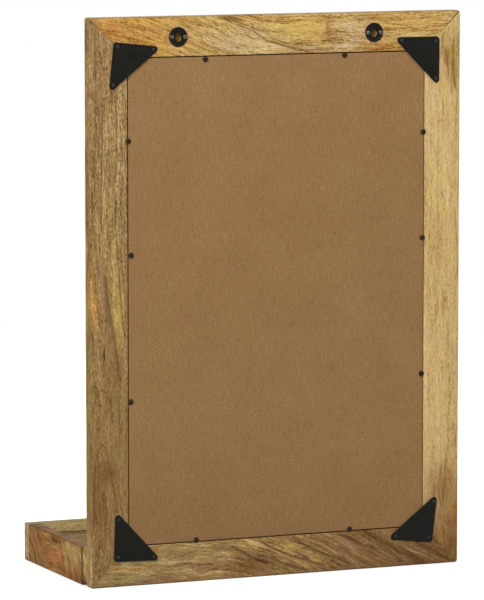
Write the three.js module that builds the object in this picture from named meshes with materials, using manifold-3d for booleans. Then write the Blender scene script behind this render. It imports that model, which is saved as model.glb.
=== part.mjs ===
// A wall mirror in a mitred wood frame, with a shallow tray shelf across the foot of its front.
// Millimetres. Z is up, the mirror faces -Y, and the back of the frame faces +Y.
// The origin is at the middle of the whole outline's foot.

import * as THREE from 'three';
import { mergeVertices } from 'three/addons/utils/BufferGeometryUtils.js';
import Module from 'manifold-3d';

// Frame
const frameWidth = 500;
const frameHeight = 700;
const frameThickness = 18;
const backFaceWidth = 49; // wood between the outer edge and the back panel
const ledgeWidth = 8; // step that the back panel lies on
const lipWidth = 5; // front lip that laps over the glass
const frontArris = 2.5;
const backArris = 1.8;
const cornerRadius = 3;

// Glass and back panel
const glassThickness = 4;
const glassSeam = 0.4; // chamfer ground along the edges of the glass
const panelThickness = 3;
const panelSink = 0.8; // the panel's face lies this far below the frame's back

// Shelf
const shelfReach = 216; // from the front of the frame to the front of the shelf
const shelfHeight = 48;
const boardThickness = 16;
const boardArris = 2;
const battenThickness = 12;
const battenEndInset = 1.5;
const battenFootInset = 2;
const battenArris = 0.8;
const trayDepth = 13; // from the rim down to the floor
const floorThickness = 9;
const grooveDepth = 6;

// Clearances
const seatGap = 0.3; // between a piece and what it lies on or fits into
const jointGap = 0.3; // across a mitre or a butt joint

// Corner plates
const plateLeg = 63;
const plateThickness = 1.2;
const plateCornerRadius = 3.8;
const plateNailInset = 5.3; // of the nail in the square corner, from both legs
const plateTipInset = 11; // of a nail in a sharp corner, from the tip along its leg
const plateTipMargin = 4.3; // of that nail, from its leg
const plateEdgeEase = 0.3;
// Each plate was nailed on by eye: its square corner stands this far outside the panel's corner,
// sideways and endways, and it is turned by this many degrees.
const plates = [
  { name: 'top_right', side: 1, level: 1, overSide: 16.3, overEnd: 19.3, turn: 6.6 },
  { name: 'top_left', side: -1, level: 1, overSide: 18.6, overEnd: 16.6, turn: 0.3 },
  { name: 'bottom_right', side: 1, level: -1, overSide: 18.6, overEnd: 17, turn: 2 },
  { name: 'bottom_left', side: -1, level: -1, overSide: 11.2, overEnd: 21, turn: 7 },
];

// Keyhole hangers
const hangerRadius = 12;
const hangerThickness = 1.2;
const hangerEdgeEase = 0.35;
const hangerDrop = 25.3; // of a hanger's middle below the top of the frame
const hangerScrewOffset = 8.5;
const keyholeRadius = 4;
const keyholeDrop = 1.6; // of the wide hole's middle below the hanger's middle
const slotRadius = 2.3;
const slotRise = 3.8; // of the slot's round end above the hanger's middle
const pocketRadius = 5.4;
const pocketDepth = 9;
const hangers = [
  { name: 'right', x: 132.9 },
  { name: 'left', x: -129.9 },
];

// Fasteners: bite is the length held in the last piece that each one enters
const panelScrew = { headRadius: 3.6, headHeight: 1.9, shankRadius: 1.5, bite: 8 };
const plateNail = { headRadius: 2.2, headHeight: 0.9, shankRadius: 0.9, bite: 13 };
const hangerScrew = { headRadius: 2.6, headHeight: 1.2, shankRadius: 1.3, bite: 11 };
const shelfScrew = { headRadius: 4, headHeight: 2.2, shankRadius: 2, bite: 13 };
const shelfScrewSpacing = 130;
const shelfScrewCount = 4;
const shelfScrewHeight = 16;
const dowelRadius = 3;
const dowelChamfer = 0.8;
const dowelHeights = [9.5, 19.5];
const dowelEndBite = 20;
const dowelFrontBite = 10;
const dowelBattenBite = 7;

// Places of the panel screws: along is a share of the panel's half length from its middle,
// inset is the distance in from the panel's edge.
const panelScrewPlaces = [
  { edge: 'top', along: 0.481, inset: 4.2 },
  { edge: 'top', along: -0.451, inset: 3.2 },
  { edge: 'right', along: 0.662, inset: 2.3 },
  { edge: 'right', along: 0.196, inset: 5.5 },
  { edge: 'right', along: -0.404, inset: 4.4 },
  { edge: 'left', along: 0.66, inset: 2.3 },
  { edge: 'left', along: 0.218, inset: 2.9 },
  { edge: 'left', along: -0.354, inset: 3.4 },
  { edge: 'bottom', along: 0.546, inset: 2.3 },
  { edge: 'bottom', along: -0.491, inset: 2.3 },
];

// Smoothness of small round work
const arrisSteps = 2;
const shankSides = 10;
const discSteps = 12;

// Levels worked out from the sizes. Depths run forwards from the back face of the frame.
const faceWidth = backFaceWidth + ledgeWidth + lipWidth;
const ledgeDepth = panelSink + panelThickness + seatGap;
const lipDepth = ledgeDepth + glassThickness + seatGap;
const panelWidth = frameWidth - 2 * backFaceWidth - 2 * seatGap;
const panelHeight = frameHeight - 2 * backFaceWidth - 2 * seatGap;
const glassInset = backFaceWidth + ledgeWidth + seatGap;
const middleHeight = frameHeight / 2;
const battenBackY = -frameThickness - jointGap;
const battenFrontY = battenBackY - battenThickness;
const shelfFrontY = -frameThickness - shelfReach;
const frontBoardBackY = shelfFrontY + boardThickness;
const endBoardLength = battenFrontY - frontBoardBackY - 2 * jointGap;
const endBoardX = frameWidth / 2 - boardThickness / 2;
const floorTopZ = shelfHeight - trayDepth;
const plateHeadY = seatGap + plateThickness + seatGap;
const hangerHeadY = seatGap + hangerThickness + seatGap;
const backReach = Math.max(plateHeadY + plateNail.headHeight, hangerHeadY + hangerScrew.headHeight);
const hangerZ = frameHeight - hangerDrop;

const wasm = await Module();
wasm.setup();

// ---- Solids, cuts and meshes ----

function solidOf(geometry) {
  const bare = geometry.clone();
  bare.deleteAttribute('normal');
  bare.deleteAttribute('uv');
  const merged = mergeVertices(bare);
  const corners = merged.index.array;
  const triangles = [];
  for (let i = 0; i < corners.length; i += 3) {
    const [a, b, c] = corners.slice(i, i + 3);
    if (a !== b && b !== c && c !== a) triangles.push(a, b, c);
  }
  return new wasm.Manifold(new wasm.Mesh({
    numProp: 3,
    vertProperties: new Float32Array(merged.attributes.position.array),
    triVerts: new Uint32Array(triangles),
  }));
}

function geometryOf(solid) {
  const mesh = solid.getMesh();
  const geometry = new THREE.BufferGeometry();
  geometry.setAttribute('position', new THREE.BufferAttribute(new Float32Array(mesh.vertProperties), 3));
  geometry.setIndex(new THREE.BufferAttribute(new Uint32Array(mesh.triVerts), 1));
  return geometry;
}

function subtractAll(blank, cutters) {
  let solid = solidOf(blank);
  for (const cutter of cutters) solid = solid.subtract(solidOf(cutter));
  return geometryOf(solid);
}

function intersectAll(blank, keepers) {
  let solid = solidOf(blank);
  for (const keeper of keepers) solid = solid.intersect(solidOf(keeper));
  return geometryOf(solid);
}

const assembly = new THREE.Group();

// Adds a piece at its place. The cutters are given in the assembly's own axes.
function addPiece(name, blank, material, place = {}, cutters = []) {
  const mesh = new THREE.Mesh(blank, material);
  mesh.name = name;
  mesh.position.set(place.x ?? 0, place.y ?? 0, place.z ?? 0);
  mesh.rotation.set(place.turnX ?? 0, place.turnY ?? 0, 0);
  mesh.updateMatrix();
  const toPiece = mesh.matrix.clone().invert();
  const localCutters = cutters.map((cutter) => cutter.clone().applyMatrix4(toPiece));
  mesh.geometry = subtractAll(blank, localCutters);
  assembly.add(mesh);
}

// ---- Basic forms ----

// A closed outline through corners of the form [x, y, radius], with each corner rounded by its radius.
function easedOutline(corners) {
  const shape = new THREE.Shape();
  corners.forEach(([x, y, radius], i) => {
    const corner = new THREE.Vector2(x, y);
    const before = new THREE.Vector2(...corners.at(i - 1));
    const after = new THREE.Vector2(...corners[(i + 1) % corners.length]);
    const towardsBefore = before.sub(corner).normalize();
    const towardsAfter = after.sub(corner).normalize();
    const halfAngle = towardsBefore.angleTo(towardsAfter) / 2;
    const inwards = towardsBefore.clone().add(towardsAfter).normalize();
    const centre = corner.clone().addScaledVector(inwards, radius / Math.sin(halfAngle));
    const reach = radius / Math.tan(halfAngle);
    const start = corner.clone().addScaledVector(towardsBefore, reach);
    const end = corner.clone().addScaledVector(towardsAfter, reach);
    if (i === 0) shape.moveTo(start.x, start.y);
    else shape.lineTo(start.x, start.y);
    if (radius > 0) {
      const clockwise = towardsBefore.cross(towardsAfter) > 0;
      const startAngle = start.sub(centre).angle();
      const endAngle = end.sub(centre).angle();
      shape.absarc(centre.x, centre.y, radius, startAngle, endAngle, clockwise);
    }
  });
  shape.closePath();
  return shape;
}

function easedRectangle(width, height, radius) {
  const x = width / 2;
  const y = height / 2;
  return easedOutline([[-x, -y, radius], [x, -y, radius], [x, y, radius], [-x, y, radius]]);
}

// Extrudes an outline drawn in X and Z along Y, from frontY to backY, with its edges chamfered by ease.
function plateFrom(shape, frontY, backY, steps = arrisSteps, ease = 0) {
  const geometry = new THREE.ExtrudeGeometry(shape, {
    depth: backY - frontY - 2 * ease,
    bevelEnabled: ease > 0,
    bevelThickness: ease,
    bevelSize: ease,
    bevelOffset: -ease,
    bevelSegments: 1,
    curveSegments: steps,
  });
  geometry.rotateX(Math.PI / 2);
  geometry.translate(0, backY - ease, 0);
  return geometry;
}

// Extrudes a section along X, centred. The section's own x runs to -Z and its y stays Y.
function barAlongX(section, length) {
  const geometry = new THREE.ExtrudeGeometry(section, {
    depth: length,
    bevelEnabled: false,
    curveSegments: arrisSteps,
  });
  geometry.translate(0, 0, -length / 2);
  geometry.rotateY(Math.PI / 2);
  return geometry;
}

// A board centred on the origin with all of its edges eased.
function easedBoard(sizeX, sizeY, sizeZ, arris) {
  const geometry = new THREE.ExtrudeGeometry(easedRectangle(sizeX, sizeZ, 1.4 * arris), {
    depth: sizeY - 2 * arris,
    bevelThickness: arris,
    bevelSize: arris,
    bevelOffset: -arris,
    bevelSegments: arrisSteps,
    curveSegments: arrisSteps,
  });
  geometry.translate(0, 0, -sizeY / 2 + arris);
  geometry.rotateX(Math.PI / 2);
  return geometry;
}

function boxBetween(low, high) {
  const size = high.map((value, i) => value - low[i]);
  const middle = high.map((value, i) => (value + low[i]) / 2);
  return new THREE.BoxGeometry(...size).translate(...middle);
}

// A round bore along Y that clears a shank of the given radius.
function boreFor(shankRadius, x, z, frontY, backY) {
  const geometry = new THREE.CylinderGeometry(
    shankRadius + seatGap, shankRadius + seatGap, backY - frontY, shankSides);
  return geometry.translate(x, (frontY + backY) / 2, z);
}

// A domed fastener on the Y axis: its head stands on Y = 0 and its shank runs to -Y.
function fastener({ headRadius, headHeight, shankRadius }, length) {
  const domeSteps = 3;
  const profile = [new THREE.Vector2(0, -length)];
  profile.push(new THREE.Vector2(shankRadius, -length + 2 * shankRadius));
  profile.push(new THREE.Vector2(shankRadius, 0));
  for (let i = 0; i < domeSteps; i += 1) {
    const angle = (i / domeSteps) * (Math.PI / 2);
    profile.push(new THREE.Vector2(headRadius * Math.cos(angle), headHeight * Math.sin(angle)));
  }
  profile.push(new THREE.Vector2(0, headHeight));
  return new THREE.LatheGeometry(profile, shankSides);
}

function dowel(length) {
  const half = length / 2;
  const profile = [
    new THREE.Vector2(0, -half),
    new THREE.Vector2(dowelRadius - dowelChamfer, -half),
    new THREE.Vector2(dowelRadius, -half + dowelChamfer),
    new THREE.Vector2(dowelRadius, half - dowelChamfer),
    new THREE.Vector2(dowelRadius - dowelChamfer, half),
    new THREE.Vector2(0, half),
  ];
  return new THREE.LatheGeometry(profile, shankSides);
}

// ---- Materials ----

function surface(color, roughness, metalness) {
  return new THREE.MeshStandardMaterial({ color, roughness, metalness });
}

const frameWood = () => surface(0xb08850, 0.6, 0);
const shelfWood = () => surface(0xa0703c, 0.6, 0);
const floorWood = () => surface(0x8a6238, 0.65, 0);
const dowelWood = () => surface(0xcbb084, 0.7, 0);
const fibreboard = () => surface(0x91704a, 0.75, 0);
const silveredGlass = () => surface(0xd8dee0, 0.03, 1);
const blackMetal = () => surface(0x1e1a14, 0.45, 0.6);
const screwSteel = () => surface(0x8c8c88, 0.35, 0.9);

// ---- Frame ----

// The rail's section: x is the distance from the frame's middle line, y is 0 at the back face.
function railSection(halfSpan) {
  const outer = halfSpan;
  const panelEdge = halfSpan - backFaceWidth;
  const glassEdge = panelEdge - ledgeWidth;
  const sightEdge = glassEdge - lipWidth;
  return easedOutline([
    [outer, -frameThickness, frontArris],
    [outer, 0, backArris],
    [panelEdge, 0, 0],
    [panelEdge, -ledgeDepth, 0],
    [glassEdge, -ledgeDepth, 0],
    [glassEdge, -lipDepth, 0],
    [sightEdge, -lipDepth, 0],
    [sightEdge, -frameThickness, frontArris],
  ]);
}

// The rail as it would lie at the foot of the frame, about the frame's middle.
function mitredRail(length, halfSpan) {
  const overshoot = 2 * frameThickness;
  const front = -frameThickness - overshoot;
  const shortened = length / 2 - jointGap / Math.SQRT2;
  const mitre = new THREE.Shape([
    new THREE.Vector2(-shortened - overshoot, -halfSpan - overshoot),
    new THREE.Vector2(shortened + overshoot, -halfSpan - overshoot),
    new THREE.Vector2(shortened - faceWidth - 1, -halfSpan + faceWidth + 1),
    new THREE.Vector2(-shortened + faceWidth + 1, -halfSpan + faceWidth + 1),
  ]);
  const outline = easedRectangle(length, 2 * halfSpan, cornerRadius);
  return intersectAll(barAlongX(railSection(halfSpan), length), [
    plateFrom(outline, front, overshoot),
    plateFrom(mitre, front, overshoot),
  ]);
}

function addFrame(cutters) {
  const rails = [
    { name: 'frame_bottom_rail', length: frameWidth, halfSpan: frameHeight / 2, turnY: 0 },
    { name: 'frame_left_stile', length: frameHeight, halfSpan: frameWidth / 2, turnY: Math.PI / 2 },
    { name: 'frame_top_rail', length: frameWidth, halfSpan: frameHeight / 2, turnY: Math.PI },
    { name: 'frame_right_stile', length: frameHeight, halfSpan: frameWidth / 2, turnY: -Math.PI / 2 },
  ];
  for (const rail of rails) {
    const blank = mitredRail(rail.length, rail.halfSpan);
    addPiece(rail.name, blank, frameWood(), { z: middleHeight, turnY: rail.turnY }, cutters);
  }
}

// ---- Glass and back panel ----

function addGlass() {
  const backY = -ledgeDepth;
  const outline = easedRectangle(frameWidth - 2 * glassInset, frameHeight - 2 * glassInset, 2 * glassSeam);
  const glass = plateFrom(outline, backY - glassThickness, backY, arrisSteps, glassSeam);
  addPiece('mirror_glass', glass, silveredGlass(), { z: middleHeight });
}

function addBackPanel(bores) {
  const panel = new THREE.BoxGeometry(panelWidth, panelThickness, panelHeight);
  addPiece('back_panel', panel, fibreboard(), { y: -panelSink - panelThickness / 2, z: middleHeight }, bores);
}

// Where a panel screw stands, in X and Z.
function panelScrewPoint({ edge, along, inset }) {
  const x = panelWidth / 2;
  const z = panelHeight / 2;
  if (edge === 'top') return [along * x, middleHeight + z - inset];
  if (edge === 'bottom') return [along * x, middleHeight - z + inset];
  if (edge === 'right') return [x - inset, middleHeight + along * z];
  return [-x + inset, middleHeight + along * z];
}

function panelScrewBores() {
  return panelScrewPlaces.map((place) => {
    const [x, z] = panelScrewPoint(place);
    return boreFor(panelScrew.shankRadius, x, z, -ledgeDepth - panelScrew.bite - seatGap, 0);
  });
}

// Shallow seats in the frame for the heads that lap over its edge.
function panelScrewSeats() {
  return panelScrewPlaces.map((place) => {
    const [x, z] = panelScrewPoint(place);
    return boreFor(panelScrew.headRadius, x, z, -panelSink, panelScrew.headHeight);
  });
}

function addPanelScrews() {
  const headY = -panelSink + seatGap;
  const length = headY + ledgeDepth + panelScrew.bite;
  panelScrewPlaces.forEach((place, i) => {
    const [x, z] = panelScrewPoint(place);
    const name = `panel_screw_${String(i + 1).padStart(2, '0')}`;
    addPiece(name, fastener(panelScrew, length), blackMetal(), { x, y: headY, z });
  });
}

// ---- Corner plates ----

// The turn that points a plate's legs into the frame, with the small turn it was nailed at.
function plateTurn({ side, level, turn }) {
  const square = Math.PI / 4 - Math.atan2(-level, -side);
  return square - THREE.MathUtils.degToRad(turn);
}

function plateCorner({ side, level, overSide, overEnd }) {
  const x = side * (frameWidth / 2 - backFaceWidth + overSide);
  const z = middleHeight + level * (frameHeight / 2 - backFaceWidth + overEnd);
  return new THREE.Vector3(x, 0, z);
}

// Nail places on a plate whose square corner is at the origin and whose legs run along +X and +Z.
function plateNailSpots() {
  const tip = plateLeg - plateTipInset;
  return [
    [plateNailInset, plateNailInset],
    [tip, plateTipMargin],
    [plateTipMargin, tip],
  ];
}

function plateNailPoints(plate) {
  const upright = new THREE.Vector3(0, 1, 0);
  return plateNailSpots().map(([x, z]) => {
    const spot = new THREE.Vector3(x, 0, z).applyAxisAngle(upright, plateTurn(plate));
    return spot.add(plateCorner(plate));
  });
}

function plateNailBores() {
  const front = -plateNail.bite - seatGap;
  return plates.flatMap((plate) => plateNailPoints(plate).map(
    (point) => boreFor(plateNail.shankRadius, point.x, point.z, front, plateHeadY)));
}

function addCornerPlates(bores) {
  const outline = easedOutline([
    [0, 0, plateCornerRadius],
    [plateLeg, 0, plateCornerRadius],
    [0, plateLeg, plateCornerRadius],
  ]);
  const blank = plateFrom(outline, 0, plateThickness, arrisSteps, plateEdgeEase);
  for (const plate of plates) {
    const corner = plateCorner(plate);
    const place = { x: corner.x, y: seatGap, z: corner.z, turnY: plateTurn(plate) };
    addPiece(`corner_plate_${plate.name}`, blank, blackMetal(), place, bores);
    plateNailPoints(plate).forEach((point, i) => {
      const nail = fastener(plateNail, plateHeadY + plateNail.bite);
      const nailPlace = { x: point.x, y: plateHeadY, z: point.z };
      addPiece(`plate_nail_${plate.name}_${i + 1}`, nail, blackMetal(), nailPlace);
    });
  }
}

// ---- Keyhole hangers ----

// A wide round hole with a narrower slot rising from it.
function keyholePath() {
  const meeting = Math.asin(slotRadius / keyholeRadius);
  const path = new THREE.Path();
  const lastAngle = Math.PI / 2 - meeting + 2 * Math.PI;
  path.absarc(0, -keyholeDrop, keyholeRadius, Math.PI / 2 + meeting, lastAngle, false);
  path.absarc(0, slotRise, slotRadius, 0, Math.PI, false);
  path.closePath();
  return path;
}

function roundPath(x, radius) {
  return new THREE.Path().absarc(x, 0, radius, 0, 2 * Math.PI, false);
}

function hangerPlate() {
  const shape = new THREE.Shape().absarc(0, 0, hangerRadius, 0, 2 * Math.PI, false);
  const screwHole = hangerScrew.shankRadius + seatGap;
  shape.holes.push(keyholePath());
  shape.holes.push(roundPath(hangerScrewOffset, screwHole));
  shape.holes.push(roundPath(-hangerScrewOffset, screwHole));
  return plateFrom(shape, 0, hangerThickness, discSteps, hangerEdgeEase);
}

// The pocket in the wood that takes the head of the wall screw, wherever it slides.
function hangerPockets() {
  const outline = new THREE.Shape();
  outline.absarc(0, -keyholeDrop, pocketRadius, Math.PI, 2 * Math.PI, false);
  outline.absarc(0, slotRise, pocketRadius, 0, Math.PI, false);
  outline.closePath();
  return hangers.map(({ x }) => plateFrom(outline, -pocketDepth, hangerThickness).translate(x, 0, hangerZ));
}

function hangerScrewPoints({ x }) {
  return [x - hangerScrewOffset, x + hangerScrewOffset];
}

function hangerScrewBores() {
  const front = -hangerScrew.bite - seatGap;
  return hangers.flatMap((hanger) => hangerScrewPoints(hanger).map(
    (x) => boreFor(hangerScrew.shankRadius, x, hangerZ, front, hangerHeadY)));
}

function addHangers() {
  for (const hanger of hangers) {
    const place = { x: hanger.x, y: seatGap, z: hangerZ };
    addPiece(`keyhole_hanger_${hanger.name}`, hangerPlate(), blackMetal(), place);
    hangerScrewPoints(hanger).forEach((x, i) => {
      const screw = fastener(hangerScrew, hangerHeadY + hangerScrew.bite);
      const screwPlace = { x, y: hangerHeadY, z: hangerZ };
      addPiece(`hanger_screw_${hanger.name}_${i + 1}`, screw, screwSteel(), screwPlace);
    });
  }
}

// ---- Shelf ----

// The floor panel, or with extra the room that it takes in the grooves of the boards.
function floorBox(extra) {
  const halfWidth = frameWidth / 2 - boardThickness + grooveDepth - seatGap + extra;
  const frontY = frontBoardBackY - grooveDepth + seatGap - extra;
  const backY = battenFrontY + grooveDepth - seatGap + extra;
  const low = [-halfWidth, frontY, floorTopZ - floorThickness - extra];
  const high = [halfWidth, backY, floorTopZ + extra];
  return boxBetween(low, high);
}

function dowelBore(x, z, frontY, backY) {
  return boreFor(dowelRadius, x, z, frontY - seatGap, backY + seatGap);
}

// The dowels in the butt joints: at each end board, some into the front board and some into the batten.
function dowelPlaces() {
  const endFront = frontBoardBackY + jointGap;
  const endBack = battenFrontY - jointGap;
  const joints = [
    { name: 'front', frontY: frontBoardBackY - dowelFrontBite, backY: endFront + dowelEndBite },
    { name: 'back', frontY: endBack - dowelEndBite, backY: battenFrontY + dowelBattenBite },
  ];
  const sides = [{ name: 'right', x: endBoardX }, { name: 'left', x: -endBoardX }];
  return sides.flatMap((side) => joints.flatMap((joint) => dowelHeights.map((z, i) => ({
    name: `shelf_dowel_${side.name}_${joint.name}_${i + 1}`,
    x: side.x,
    z,
    frontY: joint.frontY,
    backY: joint.backY,
  }))));
}

function shelfScrewXs() {
  const first = -(shelfScrewCount - 1) * shelfScrewSpacing / 2;
  return Array.from({ length: shelfScrewCount }, (_, i) => first + i * shelfScrewSpacing);
}

function shelfScrewBores() {
  const backY = -frameThickness + shelfScrew.bite + seatGap;
  return shelfScrewXs().map(
    (x) => boreFor(shelfScrew.shankRadius, x, shelfScrewHeight, battenFrontY - seatGap, backY));
}

function addShelfBoards(cutters) {
  const middleZ = shelfHeight / 2;
  const front = easedBoard(frameWidth, boardThickness, shelfHeight, boardArris);
  addPiece('shelf_front_board', front, shelfWood(),
    { y: shelfFrontY + boardThickness / 2, z: middleZ }, cutters);
  const endSection = easedRectangle(boardThickness, shelfHeight, boardArris);
  const endFrontY = frontBoardBackY + jointGap;
  const end = plateFrom(endSection, endFrontY, endFrontY + endBoardLength);
  addPiece('shelf_right_end', end, shelfWood(), { x: endBoardX, z: middleZ }, cutters);
  addPiece('shelf_left_end', end, shelfWood(), { x: -endBoardX, z: middleZ }, cutters);
}

function addBatten(cutters) {
  const height = shelfHeight - battenFootInset;
  const section = easedRectangle(height, battenThickness, battenArris);
  const blank = barAlongX(section, frameWidth - 2 * battenEndInset);
  const place = { y: (battenFrontY + battenBackY) / 2, z: battenFootInset + height / 2 };
  addPiece('shelf_batten', blank, shelfWood(), place, cutters);
}

function addShelfScrews() {
  const headY = battenFrontY - seatGap;
  const length = -frameThickness + shelfScrew.bite - headY;
  shelfScrewXs().forEach((x, i) => {
    const place = { x, y: headY, z: shelfScrewHeight, turnX: Math.PI };
    addPiece(`shelf_screw_${i + 1}`, fastener(shelfScrew, length), screwSteel(), place);
  });
}

function addShelf() {
  const dowels = dowelPlaces();
  const dowelBores = dowels.map(({ x, z, frontY, backY }) => dowelBore(x, z, frontY, backY));
  const groove = floorBox(seatGap);
  addShelfBoards([groove, ...dowelBores]);
  addBatten([groove, ...dowelBores, ...shelfScrewBores()]);
  addPiece('shelf_floor', floorBox(0), floorWood());
  addShelfScrews();
  for (const { name, x, z, frontY, backY } of dowels) {
    addPiece(name, dowel(backY - frontY), dowelWood(), { x, y: (frontY + backY) / 2, z });
  }
}

// ---- The whole object ----

const panelBores = panelScrewBores();
const nailBores = plateNailBores();
addFrame([
  ...panelBores,
  ...panelScrewSeats(),
  ...nailBores,
  ...hangerScrewBores(),
  ...shelfScrewBores(),
  ...hangerPockets(),
]);
addGlass();
addBackPanel(panelBores);
addPanelScrews();
addCornerPlates(nailBores);
addHangers();
addShelf();

// The depth from the shelf's front to the last screw head is centred on the origin.
assembly.position.y = -(shelfFrontY + backReach) / 2;

const mirrorWithShelf = new THREE.Group();
mirrorWithShelf.add(assembly);

export default mirrorWithShelf;
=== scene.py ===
"""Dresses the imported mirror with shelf: detailed boards, plates and fasteners, procedural materials,
a pale floor, soft studio light and the photograph's camera. Lengths are millimetres until a mesh is
made, and the lamps' and the camera's are metres. The mirror faces -Y, the wall side faces +Y, and
+Z is up."""
import math
import random

import bmesh
import bpy
from mathutils import Matrix, Vector, noise


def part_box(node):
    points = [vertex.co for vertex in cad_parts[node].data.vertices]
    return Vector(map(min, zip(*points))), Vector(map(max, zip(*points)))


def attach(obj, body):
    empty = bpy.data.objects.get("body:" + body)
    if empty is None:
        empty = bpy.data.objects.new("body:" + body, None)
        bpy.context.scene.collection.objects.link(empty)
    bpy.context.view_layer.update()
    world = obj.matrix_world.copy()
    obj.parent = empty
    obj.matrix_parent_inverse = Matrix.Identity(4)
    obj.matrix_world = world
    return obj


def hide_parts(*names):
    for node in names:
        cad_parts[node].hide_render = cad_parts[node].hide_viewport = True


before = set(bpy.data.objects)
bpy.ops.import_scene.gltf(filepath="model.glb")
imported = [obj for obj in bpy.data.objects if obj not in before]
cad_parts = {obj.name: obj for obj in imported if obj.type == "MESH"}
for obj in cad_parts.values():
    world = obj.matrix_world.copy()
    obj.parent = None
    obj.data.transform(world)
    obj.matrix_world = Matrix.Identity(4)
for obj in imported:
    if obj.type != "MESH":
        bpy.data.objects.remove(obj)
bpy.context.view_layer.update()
dice = random.Random(11)
MM = 1000.0


def box_mm(node):
    """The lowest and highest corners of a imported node."""
    low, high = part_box(node)
    return low * MM, high * MM


def middle_of(node):
    """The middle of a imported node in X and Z."""
    low, high = box_mm(node)
    return (low.x + high.x) / 2, (low.z + high.z) / 2


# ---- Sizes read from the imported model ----

SIDES = ("right", "left")
CORNERS = ("top_right", "top_left", "bottom_right", "bottom_left")
CORNER_RADIUS = 3.0
PLAY = 0.3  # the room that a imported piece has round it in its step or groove
FRAME_LOW, FRAME_HIGH = box_mm("frame_bottom_rail")
HALF_WIDTH, BACK, RAIL_WIDTH = FRAME_HIGH
FRONT = FRAME_LOW.y
THICKNESS = BACK - FRONT
HEIGHT = box_mm("frame_top_rail")[1].z
PANEL_LOW, PANEL_HIGH = box_mm("back_panel")
PANEL_EDGE, LEDGE = PANEL_LOW.z - PLAY, BACK - PANEL_LOW.y + PLAY
GLASS_LOW, GLASS_HIGH = box_mm("mirror_glass")
GLASS_EDGE, LIP = GLASS_LOW.z - PLAY, BACK - GLASS_LOW.y + PLAY
FLOOR_LOW, FLOOR_HIGH = box_mm("shelf_floor")
JOINT = box_mm("shelf_right_end")[1].y
HANGERS = {side: middle_of("keyhole_hanger_" + side) for side in SIDES}


# ---- Node graphs written as formulas ----

def rgb(red, green, blue):
    """A colour given in display values from 0 to 255, as the linear values that a shader takes."""
    def linear(value):
        share = value / 255
        return share / 12.92 if share <= 0.04045 else ((share + 0.055) / 1.055) ** 2.4
    return (linear(red), linear(green), linear(blue), 1.0)


class Field:
    """A number or colour worked out by a node graph."""

    def __init__(self, graph, socket):
        self.graph = graph
        self.socket = socket

    def __add__(self, other):
        return self.graph.math("ADD", self, other)

    def __sub__(self, other):
        return self.graph.math("SUBTRACT", self, other)

    def __rsub__(self, other):
        return self.graph.math("SUBTRACT", other, self)

    def __mul__(self, other):
        return self.graph.math("MULTIPLY", self, other)

    def __truediv__(self, other):
        return self.graph.math("DIVIDE", self, other)


class Graph:
    """The node tree of a material or a world, and the means to write its nodes."""

    def __init__(self, owner):
        owner.use_nodes = True
        self.owner = owner
        self.tree = owner.node_tree
        self.tree.nodes.clear()

    def put(self, socket, value):
        if isinstance(value, Field):
            self.tree.links.new(value.socket, socket)
        else:
            socket.default_value = value

    def node(self, kind, inputs, output=0, **settings):
        """A new node with its settings and inputs, as the field at its output if it has one."""
        made = self.tree.nodes.new("ShaderNode" + kind)
        for key, setting in settings.items():
            setattr(made, key, setting)
        for key, value in inputs.items():
            self.put(made.inputs[key], value)
        return Field(self, made.outputs[output]) if made.outputs else None

    def math(self, operation, *values):
        return self.node("Math", dict(enumerate(values)), operation=operation)

    def mix(self, share, first, second, blend="MIX"):
        """A mix of two colours."""
        inputs = {0: share, 6: first, 7: second}
        return self.node("Mix", inputs, 2, data_type="RGBA", blend_type=blend, clamp_factor=True)

    def seen(self):
        """1 to the camera, in gloss and through glass, and 0 to the light that falls on the object."""
        paths = self.tree.nodes.new("ShaderNodeLightPath").outputs
        camera, gloss, glass = (
            Field(self, paths[f"Is {kind} Ray"]) for kind in ("Camera", "Glossy", "Transmission"))
        return self.math("MAXIMUM", self.math("MAXIMUM", camera, gloss), glass)


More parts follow.
